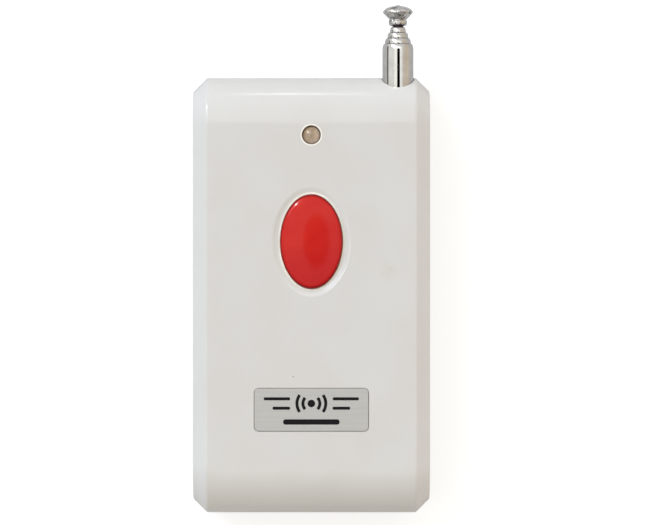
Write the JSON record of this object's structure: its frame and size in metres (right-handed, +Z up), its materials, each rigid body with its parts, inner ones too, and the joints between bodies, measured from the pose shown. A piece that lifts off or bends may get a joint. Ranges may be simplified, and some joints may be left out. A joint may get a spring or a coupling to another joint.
{
  "type": "wireless panic button",
  "caption": "Pocket wireless call button with an oval push button, indicator lamp, sliding battery door and telescopic antenna.",
  "frame": {"origin": "centre of the flat rear face, which the part lies on", "axes": "+X to the antenna's side, +Y towards the antenna end, +Z up out of the front face"},
  "size_m": [0.038, 0.0816, 0.0159],
  "materials": {
    "white_plastic": "glossy moulded white plastic",
    "red_plastic": "polished red plastic",
    "label_metal": "thin aluminium, brushed crosswise",
    "clear_resin": "clear cast resin, slightly warm",
    "chrome_plate": "polished chrome plate",
    "bronze_sleeve": "spring bronze",
    "brass_turned": "turned brass",
    "screw_steel": "zinc-plated steel",
    "tinned_steel": "tinned sheet and wire",
    "board_laminate": "green laminate",
    "black_plastic": "matt black moulding",
    "copper_wire": "enamelled copper wire",
    "capacitor_ceramic": "fired ceramic",
    "battery_jacket": "printed film over a steel can"
  },
  "bodies": {
    "housing": {"front_cover": "white_plastic", "rear_cover": "white_plastic", "label_plate": "label_metal", "indicator_led": "clear_resin", "led_leads": "tinned_steel", "circuit_board": "board_laminate", "switch_base": "black_plastic", "switch_cover": "tinned_steel", "switch_dome": "tinned_steel", "switch_legs": "tinned_steel", "encoder_chip": "black_plastic", "chip_pins": "tinned_steel", "resonator_can": "tinned_steel", "resonator_pins": "tinned_steel", "rf_transistor": "black_plastic", "transistor_pins": "tinned_steel", "drum_choke": "copper_wire", "chip_capacitors": "capacitor_ceramic", "chip_resistors": "black_plastic", "battery": "battery_jacket", "negative_spring": "tinned_steel", "negative_contact": "tinned_steel", "positive_contact": "tinned_steel", "antenna_foot": "brass_turned", "foot_standoff": "brass_turned", "foot_screw": "screw_steel", "case_screws": "screw_steel", "antenna_tube_1": "chrome_plate"},
    "button": {"button_cap": "red_plastic"},
    "plunger": {"switch_plunger": "black_plastic"},
    "door": {"battery_door": "white_plastic"},
    "antenna_section_2": {"antenna_tube_2": "chrome_plate", "antenna_bush_2": "bronze_sleeve"},
    "antenna_section_3": {"antenna_tube_3": "chrome_plate", "antenna_bush_3": "bronze_sleeve"},
    "antenna_section_4": {"antenna_tube_4": "chrome_plate", "antenna_bush_4": "bronze_sleeve"},
    "antenna_tip": {"antenna_rod": "chrome_plate", "antenna_bush_5": "bronze_sleeve", "antenna_knob": "chrome_plate"}
  },
  "joints": [
    {"name": "button_press", "type": "slide", "parent": "housing", "child": "button", "axis": [0, 0, -1], "range_m": [0, 0.0003], "stiffness_N_per_m": 600, "springref_m": -0.001},
    {"name": "plunger_press", "type": "slide", "parent": "housing", "child": "plunger", "axis": [0, 0, -1], "range_m": [0, 0.0003]},
    {"name": "door_slide", "type": "slide", "parent": "housing", "child": "door", "axis": [0, -1, 0], "range_m": [0, 0.018]},
    {"name": "section_2_slide", "type": "slide", "parent": "housing", "child": "antenna_section_2", "axis": [0, 1, 0], "range_m": [0, 0.0308]},
    {"name": "section_3_slide", "type": "slide", "parent": "antenna_section_2", "child": "antenna_section_3", "axis": [0, 1, 0], "range_m": [0, 0.0322]},
    {"name": "section_4_slide", "type": "slide", "parent": "antenna_section_3", "child": "antenna_section_4", "axis": [0, 1, 0], "range_m": [0, 0.0331]},
    {"name": "tip_slide", "type": "slide", "parent": "antenna_section_4", "child": "antenna_tip", "axis": [0, 1, 0], "range_m": [0, 0.034]}
  ],
  "couplings": [
    {"joint": "plunger_press", "follows": "button_press", "ratio": 1}
  ]
}
